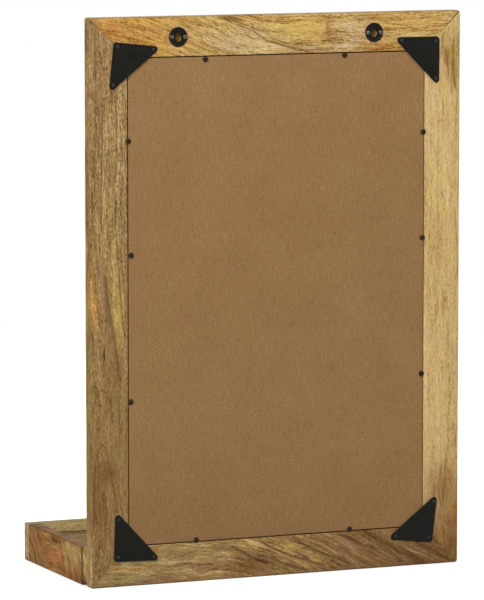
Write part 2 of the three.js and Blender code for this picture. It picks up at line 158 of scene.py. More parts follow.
class Skin(Graph):
    """The graph of a new material. Its fields start from the point in the object's own axes."""

    def __init__(self, name):
        super().__init__(bpy.data.materials.new(name))
        point = self.node("TexCoord", {}, "Object")
        self.place = self.node("VectorMath", {0: point, "Scale": MM}, operation="SCALE")
        split = self.tree.nodes.new("ShaderNodeSeparateXYZ")
        self.put(split.inputs[0], self.place)
        self.x, self.y, self.z = (Field(self, socket) for socket in split.outputs)

    def noise(self, x, y, z=0.0, detail=2.0, roughness=0.5):
        """Smooth noise of about one bump per unit, from 0 to 1 with most of it near the middle."""
        point = self.node("CombineXYZ", {0: x, 1: y, 2: z})
        inputs = {"Vector": point, "Scale": 1.0, "Detail": detail, "Roughness": roughness}
        return self.node("TexNoise", inputs)

    def cloud(self, size, detail=3.0):
        """Noise with bumps of about the given size."""
        return self.noise(self.x / size, self.y / size, self.z / size, detail=detail)

    def ramp(self, value, low, high, out_low=0.0, out_high=1.0):
        """Eases from out_low to out_high as the value goes from low to high."""
        inputs = {"Value": value, "From Min": low, "From Max": high, "To Min": out_low, "To Max": out_high}
        return self.node("MapRange", inputs, interpolation_type="SMOOTHSTEP")

    def away(self, middle):
        """The vector from a middle to the point."""
        return self.node("VectorMath", {0: self.place, 1: middle}, operation="SUBTRACT")

    def dot(self, first, second):
        return self.node("VectorMath", {0: first, 1: second}, "Value", operation="DOT_PRODUCT")

    def fade(self, square):
        """1 at nothing, and down to nothing as the square of a distance grows."""
        return self.math("POWER", 1 / math.e, square)

    def blob(self, **places):
        """A soft spot. Each of x, y and z that matters is given as its middle and its reach."""
        middle = [places[letter][0] if letter in places else 0.0 for letter in "xyz"]
        scale = [1 / places[letter][1] if letter in places else 0.0 for letter in "xyz"]
        scaled = self.node("VectorMath", {0: self.away(middle), 1: scale}, operation="MULTIPLY")
        return self.fade(self.dot(scaled, scaled))

    def vein(self, start, end, width, sway):
        """A soft streak from start to end, each given as (x, z). The sway bends it sideways."""
        length = math.dist(start, end)
        reach = length / 2 + 1
        dx, dz = (end[0] - start[0]) / length, (end[1] - start[1]) / length
        away = self.away(((start[0] + end[0]) / 2, 0.0, (start[1] + end[1]) / 2))
        forward = self.dot(away, (dx / reach, 0.0, dz / reach))
        aside = self.dot(away, (dz / width, 0.0, -dx / width)) + sway
        return self.fade(aside * aside + self.math("POWER", forward, 6.0))

    def rebate_shade(self):
        """1 on the walls of the step that holds the back panel, where painted shade darkens the gap between
        frame and panel.
        """
        edges = ((self.x, -PANEL_LOW.x), (self.z - HEIGHT / 2, PANEL_HIGH.z - HEIGHT / 2))
        across, up = (self.ramp(self.math("ABSOLUTE", place), edge + 0.35, edge + 0.6, 1.0, 0.0)
                      for place, edge in edges)
        deep = self.ramp(self.y, BACK - LEDGE - 1.0, BACK - LEDGE - 0.4)
        return across * up * deep * self.ramp(self.y, BACK - 0.7, BACK - 0.2, 1.0, 0.0)

    def colours(self, value, stops):
        """A colour ramp through (place, colour) stops."""
        made = self.tree.nodes.new("ShaderNodeValToRGB")
        made.color_ramp.interpolation = "EASE"
        while len(made.color_ramp.elements) < len(stops):
            made.color_ramp.elements.new(0.5)
        for element, (place, colour) in zip(made.color_ramp.elements, stops):
            element.position = place
            element.color = colour
        self.put(made.inputs[0], value)
        return Field(self, made.outputs[0])

    def bump(self, height, distance, strength):
        return self.node("Bump", {"Strength": strength, "Distance": distance / MM, "Height": height})

    def surface(self, **values):
        """The finished surface. Keys are the shader's own socket names with _ for spaces."""
        inputs = {key.replace("_", " "): value for key, value in values.items()}
        self.node("OutputMaterial", {0: self.node("BsdfPrincipled", inputs)})
        return self.owner


# ---- Wood ----

YELLOWER = (1.03, 1.02, 0.76, 1.0)
PINKER = (1.0, 0.88, 0.98, 1.0)
REDDER = (0.90, 0.70, 0.50, 1.0)
# A dark brown for painted shade in the panel's step and in the crack.
SHADE_BROWN = (48, 30, 16)
GRAIN_TILT = 0.35  # how far the grain shifts across the board with each millimetre of depth


def ratio(colour, base):
    """What a base colour is multiplied by to give the colour."""
    return (*(top / bottom for top, bottom in zip(colour[:3], base[:3])), 1.0)


def wood(name, run, across, palette, seed, bends=(), slants=(), patches=(), veins=(), calm=(), edge_shade=(),
         wander=5.0, contrast=1.0, figure=1.0, grit=1.0, shake=1.0):
    """One board. Its grain follows the level lines of a height over the face: across the board,
    lifted by bends (soft spots, which make swirls and knots) and slants (start, end, rise along
    the run). Patches are soft spots of another colour, as (share, colour, place). Veins are thin
    Edge shades are painted shade on edges turned from the light and in gaps at joints, as (share,
    colour, and where each axis that matters starts and ends).
    Rims are worn edges, as (share, colour, and where each axis that matters starts and ends).
    Each noise's place is divided by the size of its bumps."""
    g = Skin(name)
    dark, middle, light = (rgb(*colour) for colour in palette)
    along, side = getattr(g, run), getattr(g, across)
    depth = g.y if run != "y" else g.x
    height = side + seed * 37.0
    for lift, place in bends:
        height = height + g.blob(**place) * lift
    for start, end, rise in slants:
        height = height + g.ramp(along, start, end, 0.0, rise)
    swing = g.noise(along / 120, side / 45, seed * 3.1)
    ripple = g.noise(along / 22, side / 9, depth / 9 + seed)
    height = height + (swing - 0.5) * (4 * wander) + (ripple - 0.5) * 3.0 + depth * GRAIN_TILT
    bands = g.noise(height / 8.0, along / 260, seed * 1.7, detail=3.0, roughness=0.6)
    streaks = g.noise(height / 3.0, along / 50, seed * 2.9, roughness=0.6)
    fine = g.noise(height / 1.5, along / 15, depth / 2 + seed, roughness=0.6)
    flecks = g.noise(height / 1.2, along / 4.0, depth / 1.2, detail=1.0)
    clouds = g.noise(along / 34, side / 13, depth / 13 + seed, detail=3.0, roughness=0.6)
    tone = (bands - 0.5) * (1.2 * figure) + (streaks - 0.5) * (1.1 * figure) + (fine - 0.5) * 1.3
    tone = (tone + (flecks - 0.5) * grit + (clouds - 0.5) * 0.6) * contrast
    for share, place in calm:
        tone = tone * (1.0 - g.blob(**place) * share)
    tone = tone + 0.5
    colour = g.colours(tone, ((0.05, dark), (0.5, middle), (0.95, light)))
    hue = g.noise(height / 4.0, along / 20, seed * 5.3, detail=3.0, roughness=0.65)
    colour = g.mix(g.ramp(hue, 0.48, 0.66), colour, YELLOWER, "MULTIPLY")
    colour = g.mix(g.ramp(hue, 0.52, 0.34), colour, PINKER, "MULTIPLY")
    ragged = clouds * 0.5 + fine * 0.5
    for share, tint, place in patches:
        spot = g.blob(**place) * g.ramp(ragged, 0.3, 0.7, 0.6, 1.3)
        colour = g.mix(spot * share, colour, ratio(rgb(*tint), middle), "MULTIPLY")
    rust = g.noise(height / 2.4, along / 26, seed * 7.9, roughness=0.6)
    colour = g.mix(g.ramp(rust, 0.56, 0.74) * (0.75 * contrast), colour, REDDER, "MULTIPLY")
    sway = (clouds - 0.5) * (5.0 * shake) + (fine - 0.5) * (2.0 * shake)
    broken = g.ramp(fine, 0.32, 0.58, 0.35, 1.0)
    for share, tint, width, points in veins:
        swayed = sway * (1 / width)
        streak = g.vein(points[0], points[1], width, swayed)
        for start, end in zip(points[1:], points[2:]):
            streak = g.math("MAXIMUM", streak, g.vein(start, end, width, swayed))
        colour = g.mix(streak * broken * share, colour, rgb(*tint))
    pores = g.ramp(g.noise(height / 0.9, along / 8, depth / 0.9, detail=1.0), 0.62, 0.74)
    colour = g.mix(pores * 0.5, colour, (dark[0] * 0.5, dark[1] * 0.45, dark[2] * 0.4, 1.0))
    # Painted shade: each edge shade darkens an edge or a joint as its shadow would.
    for share, tint, limits in edge_shade:
        for letter, (start, end) in limits.items():
            share = g.ramp(getattr(g, letter), start, end) * share
        colour = g.mix(share, colour, rgb(*tint))
    # Painted shade in the step that holds the back panel.
    if name.endswith(("rail", "stile")):
        colour = g.mix(g.rebate_shade() * 0.85, colour, rgb(*SHADE_BROWN))
    relief = fine * 0.5 + flecks * 0.35 - pores * 0.8
    return g.surface(Base_Color=colour, Roughness=g.ramp(tone, 0.1, 0.9, 0.74, 0.62),
                     Specular_IOR_Level=0.03, Normal=g.bump(relief, 0.12, 0.6))


# The dark, middle and light tones of each wood, and the colours that many veins share.
GOLD = ((138, 98, 48), (192, 158, 96), (220, 192, 132))
TAN = ((104, 77, 45), (154, 125, 80), (194, 166, 118))
STRAW = ((168, 130, 72), (214, 184, 124), (233, 208, 154))
BROWN = ((94, 64, 36), (150, 118, 76), (190, 160, 112))
HEART = ((100, 60, 30), (168, 122, 72), (204, 164, 110))
PALE = ((140, 106, 64), (188, 154, 104), (214, 186, 138))
OLIVE = ((122, 100, 62), (176, 154, 106), (204, 185, 138))
# The tray floor's tones are darkened as painted shade for the frame's shadow on it.
FLOOR_IN_SHADE = ((60, 44, 24), (112, 87, 50), (146, 118, 78))
UMBER = (96, 62, 28)
RUSSET = (150, 98, 40)
DUSK = (76, 50, 28)


def top_rail_wood():
    """Golden with slanting streaks at the right end, a pale belly, a yellow eye and a brown vein."""
    patches = [
        (0.9, (196, 148, 72), dict(x=(190, 62))),
        (0.6, (182, 126, 66), dict(x=(224, 14), z=(682, 16))),
        (0.7, (150, 118, 70), dict(x=(250, 14), z=(694, 12))),
        (0.9, (204, 180, 130), dict(x=(44, 40), z=(666, 15))),
        (0.7, (205, 168, 92), dict(x=(40, 34), z=(692, 7))),
        (0.9, (214, 180, 98), dict(x=(-36, 40), z=(682, 15))),
        (0.7, (170, 140, 96), dict(x=(-40, 34), z=(656, 6))),
        (0.8, (170, 132, 86), dict(x=(-72, 8), z=(676, 15))),
        (0.9, (198, 170, 124), dict(x=(-98, 20), z=(674, 22))),
        (0.8, (186, 130, 62), dict(x=(-142, 34), z=(656, 6))),
        (0.7, (200, 158, 82), dict(x=(-172, 60), z=(686, 16))),
        (0.5, (202, 176, 118), dict(x=(-192, 32), z=(670, 5))),
    ]
    veins = [
        (0.8, UMBER, 1.2, [(78, 699), (60, 690), (35, 681), (14, 668), (-12, 660), (-42, 653)]),
        (0.6, UMBER, 1.0, [(62, 694), (40, 686), (12, 676)]),
        (0.75, UMBER, 2.2, [(72, 697), (46, 693)]),
        (0.7, UMBER, 1.0, [(12, 671), (-18, 662), (-56, 661)]),
        (0.6, UMBER, 1.0, [(0, 664), (-26, 655), (-60, 656)]),
        (0.6, RUSSET, 2.4, [(-66, 690), (-70, 672)]),
        (0.5, UMBER, 1.0, [(-56, 664), (-80, 670)]),
        (0.7, RUSSET, 1.0, [(-184, 678), (-204, 675), (-230, 675)]),
        (0.6, UMBER, 1.0, [(-136, 692), (-150, 686), (-170, 683), (-190, 679)]),
        (0.6, UMBER, 1.0, [(-128, 682), (-146, 676), (-160, 678)]),
        (0.7, RUSSET, 1.3, [(-112, 662), (-130, 660), (-168, 655)]),
        (0.6, UMBER, 0.9, [(132, 690), (108, 682), (84, 670)]),
        (0.6, RUSSET, 1.2, [(150, 672), (128, 664), (98, 652)]),
        (0.6, RUSSET, 1.0, [(122, 668), (100, 660), (78, 651)]),
        (0.5, RUSSET, 1.2, [(190, 691), (160, 683), (140, 676)]),
        (0.6, RUSSET, 1.4, [(228, 684), (206, 676), (176, 670)]),
        (0.5, RUSSET, 1.0, [(238, 694), (206, 690), (176, 683)]),
        (0.6, RUSSET, 1.2, [(66, 668), (40, 659)]),
        (0.5, (132, 98, 56), 3.0, [(242, 696), (214, 666)]),
    ]
    calm = [(0.6, dict(x=(-36, 38), z=(682, 12))), (0.4, dict(x=(44, 30), z=(666, 12)))]
    # Painted shade: the top face, seen edge-on at a grazing angle, is greyer and darker.
    edge_shade = [(0.6, (124, 110, 86), dict(z=(HEIGHT - 1.7, HEIGHT - 0.6)))]
    return wood("wood_top_rail", "x", "z", GOLD, 1, slants=[(-10, 250, -78)], patches=patches,
                veins=veins, calm=calm, edge_shade=edge_shade, wander=3.0, grit=1.4)


def bottom_rail_wood():
    """Olive and tan at the right end, then brown with a steep fan of dark streaks."""
    patches = [
        (0.9, (176, 148, 98), dict(x=(120, 70), z=(32, 16))),
        (0.8, (158, 138, 94), dict(x=(200, 44), z=(10, 9))),
        (0.8, (184, 140, 84), dict(x=(200, 32), z=(21, 4))),
        (0.8, (148, 138, 96), dict(x=(190, 26), z=(28, 3))),
        (0.7, (178, 148, 98), dict(x=(124, 18), z=(14, 9))),
        (0.9, (146, 104, 80), dict(x=(102, 12), z=(15, 7))),
        (0.9, (182, 150, 92), dict(x=(86, 12), z=(10, 4))),
        (0.7, (168, 126, 92), dict(x=(67, 9), z=(23, 5))),
        (0.9, (124, 86, 50), dict(x=(36, 24), z=(16, 12))),
        (0.9, (186, 154, 90), dict(x=(30, 20), z=(42, 6))),
        (0.9, (182, 150, 86), dict(x=(-16, 20), z=(33, 8))),
        (0.9, (188, 156, 92), dict(x=(-50, 15), z=(17, 6))),
        (0.5, (160, 124, 92), dict(x=(-110, 20), z=(30, 10))),
        (0.8, (130, 97, 59), dict(x=(-125, 55))),
        (0.9, (115, 84, 50), dict(x=(-215, 50))),
    ]
    veins = [
        (0.85, DUSK, 2.0, [(62, 41), (48, 33), (36, 26), (14, 15)]),
        (0.85, DUSK, 1.8, [(26, 47), (10, 36), (-14, 25), (-60, 9)]),
        (0.8, DUSK, 1.6, [(-20, 47), (-46, 31), (-74, 19), (-100, 8)]),
        (0.8, DUSK, 1.8, [(-84, 47), (-118, 31), (-150, 16), (-172, 6)]),
        (0.8, DUSK, 1.4, [(-114, 48), (-150, 29), (-172, 15)]),
        (0.7, DUSK, 1.6, [(10, 24), (-12, 13), (-40, 4)]),
        (0.7, DUSK, 1.4, [(-190, 30), (-214, 17), (-236, 4)]),
        (0.6, DUSK, 1.2, [(-168, 26), (-190, 12), (-206, 3)]),
        (0.7, DUSK, 1.0, [(148, 22), (112, 22), (86, 19)]),
        (0.5, DUSK, 1.0, [(120, 44), (84, 40), (60, 36)]),
        (0.5, UMBER, 1.2, [(60, 24), (44, 12), (40, 4)]),
        (0.7, (196, 162, 120), 1.1, [(-60, 34), (-90, 19), (-116, 4)]),
        (0.6, (196, 162, 120), 1.1, [(-136, 24), (-164, 9)]),
        (0.6, (206, 172, 112), 1.4, [(6, 31), (-20, 18), (-46, 6)]),
        (0.5, (190, 158, 118), 1.0, [(-176, 22), (-200, 13), (-214, 6)]),
    ]
    # Painted shade: the lowest edge darkens as the shadow under the rail.
    edge_shade = [(0.6, (66, 46, 28), dict(z=(1.6, 0.6)))]
    calm = [(0.3, dict(x=(170, 90))), (0.25, dict(x=(-200, 70)))]
    return wood("wood_bottom_rail", "x", "z", BROWN, 2, slants=[(-330, 90, -165)], patches=patches,
                veins=veins, calm=calm, edge_shade=edge_shade, wander=3.0, contrast=0.9)


def right_stile_wood():
    """Speckled tan with a long slow bend, a painted orange highlight on its outer edge, a knot and
    cathedral figure at its foot.
    """
    patches = [
        (0.8, (170, 142, 92), dict(x=(212, 14), z=(560, 90))),
        (0.5, (146, 118, 84), dict(x=(240, 8), z=(600, 60))),
        (0.7, (180, 150, 92), dict(x=(229, 5), z=(455, 32))),
        (0.7, (186, 154, 84), dict(x=(219, 6), z=(395, 45))),
        (0.8, (190, 158, 88), dict(x=(212, 6), z=(335, 34))),
        # Painted highlight: the orange patches along the rounded outer back edge.
        (0.55, (196, 144, 78), dict(x=(243, 6), z=(346, 28))),
        (0.35, (184, 140, 80), dict(x=(246, 4), z=(392, 46))),
        (1.0, (170, 141, 76), dict(x=(251, 2.2))),
        (1.0, (200, 172, 124), dict(x=(251, 2.2), z=(20, 120))),
        (0.5, (132, 98, 74), dict(x=(228, 6), z=(352, 30))),
        (0.7, (138, 104, 60), dict(x=(222, 12), z=(262, 26))),
        (0.6, (160, 128, 72), dict(x=(240, 10), z=(240, 22))),
        (0.7, (134, 98, 60), dict(x=(241, 20), z=(100, 70))),
        (0.7, (166, 136, 90), dict(x=(236, 7), z=(158, 8))),
        (0.7, (124, 86, 52), dict(x=(224, 10), z=(142, 12))),
    ]
    veins = [
        (0.8, UMBER, 0.9, [(232.5, 592), (233, 540), (234.5, 470), (234, 440)]),
        (0.7, UMBER, 1.0, [(216, 604), (214, 576), (213.5, 552)]),
        (0.5, UMBER, 1.4, [(238, 600), (236, 560)]),
        (0.6, (192, 148, 112), 1.2, [(245, 690), (245, 640), (245, 560)]),
        (0.6, (134, 92, 60), 1.0, [(241.5, 682), (241.5, 620), (242, 540), (242, 470)]),
        (0.85, DUSK, 0.8, [(216, 482), (215, 440), (212, 398), (209, 350), (203, 300)]),
        (0.5, DUSK, 1.2, [(220, 458), (219.5, 430)]),
        (0.7, UMBER, 1.3, [(230, 388), (225, 346), (217, 306), (212, 262)]),
        (0.5, (120, 86, 62), 3.0, [(232, 384), (226, 340), (216, 296), (211, 258)]),
        (0.5, UMBER, 1.0, [(244, 398), (240, 350), (236, 318)]),
        (0.6, UMBER, 1.2, [(236, 306), (245, 300), (247, 292)]),
        (0.6, UMBER, 1.2, [(247, 214), (244.5, 230), (240, 242), (234, 246), (228, 241), (223, 226)]),
        (0.6, UMBER, 1.4, [(245, 128), (243, 156), (239, 173), (234, 178), (229, 171), (222, 138)]),
        (0.5, UMBER, 1.2, [(240, 126), (238, 150), (234, 161), (230, 150), (228, 126)]),
        # Painted shade darkens the crack's slit.
        (0.9, SHADE_BROWN, 0.9, [(231, 299), (231, 280)]),
        (0.5, UMBER, 1.0, [(213, 240), (211, 200), (212, 160)]),
        (0.7, UMBER, 1.2, [(222, 134), (217, 112), (214, 92)]),
        (0.7, UMBER, 1.0, [(232, 118), (229, 96), (231, 70)]),
        (0.6, UMBER, 1.0, [(214, 128), (210, 104), (208, 84)]),
        (0.5, UMBER, 1.0, [(226, 80), (222, 50), (226, 26)]),
        (0.6, UMBER, 1.2, [(244, 130), (246, 100), (240, 78)]),
    ]
    bends = [(5, dict(x=(238, 16), z=(222, 40))), (8, dict(x=(237, 15), z=(108, 62)))]
    # Painted shade on the outer back and front edges, which turn from the light at the outline.
    edge_shade = [
        (0.5, UMBER, dict(x=(248.4, 249.4), y=(BACK - 2.6, BACK - 1.4))),
        (0.5, (110, 96, 60), dict(x=(247.6, 249.0), y=(FRONT + 2.0, FRONT + 0.8))),
    ]
    calm = [(0.3, dict(z=(350, 70))), (0.4, dict(z=(150, 110)))]
    return wood("wood_right_stile", "z", "x", TAN, 3, bends=bends, slants=[(270, 430, -16)],
                patches=patches, veins=veins, calm=calm, edge_shade=edge_shade, wander=2.5, contrast=0.85,
                figure=0.8, grit=1.7, shake=0.4)


def left_stile_wood():
    """Pale straw with rusty streaks at its head, a green-gold outer edge and a brown foot."""
    patches = [
        (0.7, (180, 146, 80), dict(x=(-238, 12), z=(646, 34))),
        (0.5, (150, 122, 56), dict(x=(-241, 3.5), z=(628, 24))),
        (0.5, (150, 118, 54), dict(x=(-232, 3), z=(640, 18))),
        (0.7, (194, 180, 96), dict(x=(-250, 3.2), z=(500, 160))),
        (0.7, (200, 182, 96), dict(x=(-250, 4.5), z=(215, 60))),
        (0.6, (196, 158, 98), dict(x=(-220, 10), z=(410, 34))),
        (0.5, (208, 176, 126), dict(x=(-238, 8), z=(310, 60))),
        (0.8, (182, 140, 86), dict(x=(-230, 22), z=(104, 24))),
        (1.0, (132, 94, 52), dict(x=(-232, 60), z=(8, 88))),
        (0.9, (216, 140, 60), dict(x=(-247, 5), z=(62, 18))),
    ]
    veins = [
        (0.9, (118, 86, 32), 1.9, [(-239, 664), (-238.5, 642), (-240, 622), (-244, 602)]),
        (0.85, (124, 90, 34), 1.6, [(-232, 650), (-232.5, 612)]),
        (0.85, (126, 88, 34), 1.6, [(-228, 654), (-229.5, 634)]),
        (0.9, (122, 84, 32), 1.6, [(-225, 672), (-224, 645)]),
        (0.8, (140, 108, 48), 1.6, [(-247.5, 672), (-247.5, 640)]),
        (0.7, (136, 106, 46), 1.8, [(-237, 622), (-238, 596)]),
        (0.5, RUSSET, 1.1, [(-225, 590), (-227, 570)]),
        (0.4, RUSSET, 1.0, [(-226, 584), (-224, 560)]),
        (0.7, UMBER, 1.0, [(-224.5, 472), (-224.5, 469)]),
        (0.6, UMBER, 0.8, [(-227, 469), (-227.2, 466)]),
        (0.7, RUSSET, 1.2, [(-243, 452), (-244, 425), (-246.5, 395), (-247, 362)]),
        (0.5, RUSSET, 1.0, [(-219.5, 458), (-220, 432)]),
        (0.5, RUSSET, 0.9, [(-219, 402), (-219, 378)]),
        (0.5, RUSSET, 0.9, [(-226, 348), (-228, 316)]),
        (0.5, RUSSET, 0.9, [(-220, 342), (-219, 326)]),
        (0.45, RUSSET, 0.9, [(-211, 402), (-211.5, 376)]),
        (0.6, UMBER, 1.2, [(-232, 142), (-231, 112), (-229, 84)]),
        (0.6, UMBER, 1.3, [(-226, 126), (-222, 104), (-225, 72)]),
        (0.6, UMBER, 1.1, [(-229, 92), (-229, 74)]),
        (0.5, UMBER, 1.0, [(-215, 102), (-215, 86)]),
        (0.5, (206, 178, 130), 0.9, [(-226, 52), (-233, 46)]),
    ]
    # Painted shade with a green-gold tint on the outer back edge at the outline.
    edge_shade = [(0.6, (134, 128, 76), dict(x=(1.5 - HALF_WIDTH, 0.6 - HALF_WIDTH), y=(BACK - 3, BACK - 2)))]
    return wood("wood_left_stile", "z", "x", STRAW, 4, patches=patches, veins=veins, edge_shade=edge_shade,
                wander=3.0, contrast=0.66, grit=1.4)


wood_top = top_rail_wood()
wood_bottom = bottom_rail_wood()
wood_right = right_stile_wood()
wood_left = left_stile_wood()
wood_front = wood(
    "wood_shelf_front", "x", "z", OLIVE, 5, contrast=0.8,
    # Painted shade: the top face, seen at a grazing angle, is greyed and darkened.
    patches=[(0.8, (190, 172, 128), dict(x=(252, 5)))], edge_shade=[(0.6, (92, 88, 62), dict(z=(46.4, 47.6)))])
wood_end_right = wood(
    "wood_shelf_right", "y", "z", HEART, 6, slants=[(-110, -40, 70), (5, 95, 170)],
    bends=[(5, dict(y=(-8, 12), z=(39, 9)))], calm=[(0.5, dict(y=(-14, 34), z=(20, 18)))],
    patches=[
        (0.8, (156, 110, 64), dict(y=(-84, 34))),
        (0.8, (184, 134, 70), dict(y=(-40, 12), z=(40, 6))),
        (0.9, (84, 54, 32), dict(y=(-10, 13), z=(42, 5))),
        (0.9, (199, 136, 80), dict(y=(-8, 28), z=(20, 12))),
        (0.9, (200, 164, 106), dict(y=(32, 8), z=(30, 22))),
        (0.9, (191, 156, 97), dict(y=(66, 18), z=(34, 18))),
        (0.7, (160, 100, 60), dict(y=(60, 26), z=(6, 8))),
    ],
    # Painted shade: the top face in the frame's shadow over the wood's own brown, the lowest edge, and the
    # gap at the joint with the batten.
    edge_shade=[
        (0.7, (74, 50, 26), dict(z=(46.2, 47.4))),
        (0.6, (96, 60, 34), dict(z=(1.8, 0.6))),
        (0.6, (64, 44, 24), dict(y=(JOINT - 1.6, JOINT - 0.8))),
    ])
wood_end_left = wood("wood_shelf_left", "y", "z", TAN, 7)
wood_batten = wood("wood_batten", "x", "z", TAN, 8, patches=[
    (0.95, (196, 166, 98), dict(x=(250, 4), z=(34, 20))),
    # Painted shade: the dark foot of the batten's end stands in for the shadowed gap under it.
    (0.95, (66, 46, 26), dict(x=(250, 4), z=(1, 7)))])
wood_floor = wood("wood_floor", "x", "y", FLOOR_IN_SHADE, 9)
wood_dowel = wood("wood_dowel", "y", "z", PALE, 10, contrast=0.5)


# ---- Other materials ----

def fibreboard():
    """Raw brown fibreboard with a dark band of painted shade round its rim, next to the frame."""
    g = Skin("fibreboard")
    cloud = g.noise(g.x / 60, g.z / 60, 1.0, detail=3.0)
    fleck = g.noise(g.x / 2.2, g.z / 2.6, g.y / 2.2, detail=3.0, roughness=0.7)
    fibre = g.noise(g.x / 1.6, g.z / 14, 4.0)
    tone = (cloud - 0.5) * 0.3 + (fleck - 0.5) * 1.2 + (fibre - 0.5) * 0.6 + 0.5
    colour = g.colours(tone, (
        (0.1, rgb(130, 94, 58)), (0.5, rgb(152, 116, 75)), (0.9, rgb(172, 137, 97))))
    # The band is painted shade from the frame's step. It is wider along the right side, where the stile's
    # edge hides part of it from the camera.
    reach = g.math("MAXIMUM", g.math("ABSOLUTE", g.x) + g.ramp(g.x, -10, 10, 0.3, 1.1) + PANEL_LOW.x,
                   g.math("ABSOLUTE", g.z - HEIGHT / 2) - (PANEL_HIGH.z - HEIGHT / 2))
    colour = g.mix(g.ramp(reach, -1.4, -0.9), colour, rgb(60, 38, 20))
    return g.surface(Base_Color=colour, Roughness=g.ramp(fleck, 0.3, 0.7, 0.75, 0.65),
                     Specular_IOR_Level=0.1, Normal=g.bump(fleck * 0.6 + fibre * 0.4, 0.08, 0.5))


def clouded(g, cloud, colours, roughness, **values):
    """A surface that drifts between two colours and two roughnesses as the cloud does."""
    dark, light = colours
    tint = g.colours(cloud, ((0.3, rgb(*dark)), (0.7, rgb(*light))))
    return g.surface(Base_Color=tint, Roughness=g.ramp(cloud, 0.3, 0.7, *roughness), **values)


def painted_steel(name, *colours):
    g = Skin(name)
    grain = g.bump(g.cloud(0.5, 2.0), 0.05, 0.5)
    return clouded(g, g.cloud(9), colours, (0.4, 0.55), Specular_IOR_Level=0.1, Normal=grain)


def plated_steel():
    g = Skin("bright_steel")
    return clouded(g, g.cloud(1.4), ((60, 59, 54), (112, 111, 105)), (0.28, 0.5), Metallic=0.9)


def mirror_faces():
    """The silvered face, the ground edge and the painted back of the mirror glass."""
    face, edge, back = (Skin("mirror_" + part) for part in ("face", "edge", "back"))
    haze = face.noise(face.x / 70, face.z / 70, 2.0)
    band = edge.noise(edge.x / 3, edge.y, edge.z / 3)
    spray = back.noise(back.x / 2, back.z / 2, detail=3.0)
    return [
        clouded(face, haze, ((228, 233, 231), (234, 238, 237)), (0.012, 0.022), Metallic=1.0),
        clouded(edge, band, ((60, 104, 88), (128, 168, 150)), (0.2, 0.4)),
        clouded(back, spray, ((96, 98, 100), (122, 124, 126)), (0.5, 0.7)),
    ]


brown_board = fibreboard()
# Lighter steel for the rings on the nails' heads: worn paint and a painted highlight.
worn_steel = painted_steel("worn_steel", (44, 46, 48), (72, 74, 76))
browned_steel = painted_steel("browned_steel", (34, 28, 18), (64, 54, 37))
black_steel = painted_steel("black_steel", (15, 15, 12), (22, 22, 17))
bright_steel = plated_steel()


# ---- Meshes ----

def add(name, data):
    """A new object in the scene."""
    made = bpy.data.objects.new(name, data)
    bpy.context.scene.collection.objects.link(made)
    return made


def piece(name, mesh, materials, node, sharp=32):
    """Puts a mesh on the object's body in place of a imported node, smooth except at edges sharper
    than the given angle."""
    for material in materials:
        mesh.materials.append(material)
    mesh.shade_smooth()
    mesh.set_sharp_from_angle(angle=math.radians(sharp))
    made = add(name, mesh)
    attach(made, "root")
    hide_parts(node)
    return made


def baked(made):
    """The mesh that an object's modifiers or curve settings give."""
    bpy.context.view_layer.update()
    return bpy.data.meshes.new_from_object(made.evaluated_get(bpy.context.evaluated_depsgraph_get()))


def mesh_from(name, points, faces):
    """A mesh from points in millimetres."""
    bm = bmesh.new()
    corners = [bm.verts.new(Vector(point) / MM) for point in points]
    for face in faces:
        bm.faces.new([corners[i] for i in face])
    bmesh.ops.recalc_face_normals(bm, faces=bm.faces)
    mesh = bpy.data.meshes.new(name)
    bm.to_mesh(mesh)
    bm.free()
    return mesh


def loft(name, rings):
    """Joins rings of equal count into a closed skin with flat ends."""
    count = len(rings[0])
    points = [point for ring in rings for point in ring]
    faces = []
    for low in range(0, len(points) - count, count):
        for i in range(count):
            j = (i + 1) % count
            faces.append((low + i, low + j, low + count + j, low + count + i))
    faces.append(tuple(range(count)))
    faces.append(tuple(range(len(points) - count, len(points))))
    return mesh_from(name, points, faces)


def prism(name, outline, low, high):
    """The outline in X and Z carried along Y from low to high."""
    return loft(name, [[(x, level, z) for x, z in outline] for level in (low, high)])


def arc(centre, radius, start, sweep, steps):
    """Points of an arc, with its start and its sweep in degrees."""
    angles = (math.radians(start + sweep * k / steps) for k in range(steps + 1))
    return [(centre[0] + radius * math.cos(a), centre[1] + radius * math.sin(a)) for a in angles]


def circle(centre, radius, steps=24):
    return arc(centre, radius, 0, 360, steps)[:-1]


def between(first, last, count):
    """Evenly spaced points strictly between two points."""
    return [tuple(a + (b - a) * k / (count + 1) for a, b in zip(first, last))
            for k in range(1, count + 1)]


def lathe(profile, sides):
    """Rings of (radius, height) round the Y axis. Both ends of the profile are on the axis."""
    points = [(0, profile[0][1], 0)]
    for radius, level in profile[1:-1]:
        points += [(x, level, z) for x, z in circle((0, 0), radius, sides)]
    points.append((0, profile[-1][1], 0))
    faces = [(0, 1 + i, 1 + (i + 1) % sides) for i in range(sides)]
    last = len(points) - 1 - sides
    for low in range(1, last, sides):
        for i in range(sides):
            j = (i + 1) % sides
            faces.append((low + i, low + j, low + sides + j, low + sides + i))
    faces += [(last + i, last + (i + 1) % sides, len(points) - 1) for i in range(sides)]
    return mesh_from("lathe", points, faces)


def cut(mesh, cutters):
    """The mesh with the cutters' room taken out of it."""
    body = add("cut_body", mesh)
    tools = [add("cut_tool", cutter) for cutter in cutters]
    for tool in tools:
        step = body.modifiers.new("cut", "BOOLEAN")
        step.operation = "DIFFERENCE"
        step.solver = "EXACT"
        step.object = tool
    result = baked(body)
    for made in [body, *tools]:
        bpy.data.objects.remove(made)
    return result


def wobble(position, scale, seed):
    """Seeded smooth noise from about -1 to 1."""
    return noise.noise(Vector(position) / scale + Vector((seed * 17.3, seed * 5.1, seed * 9.7)))


# ---- Frame rails ----

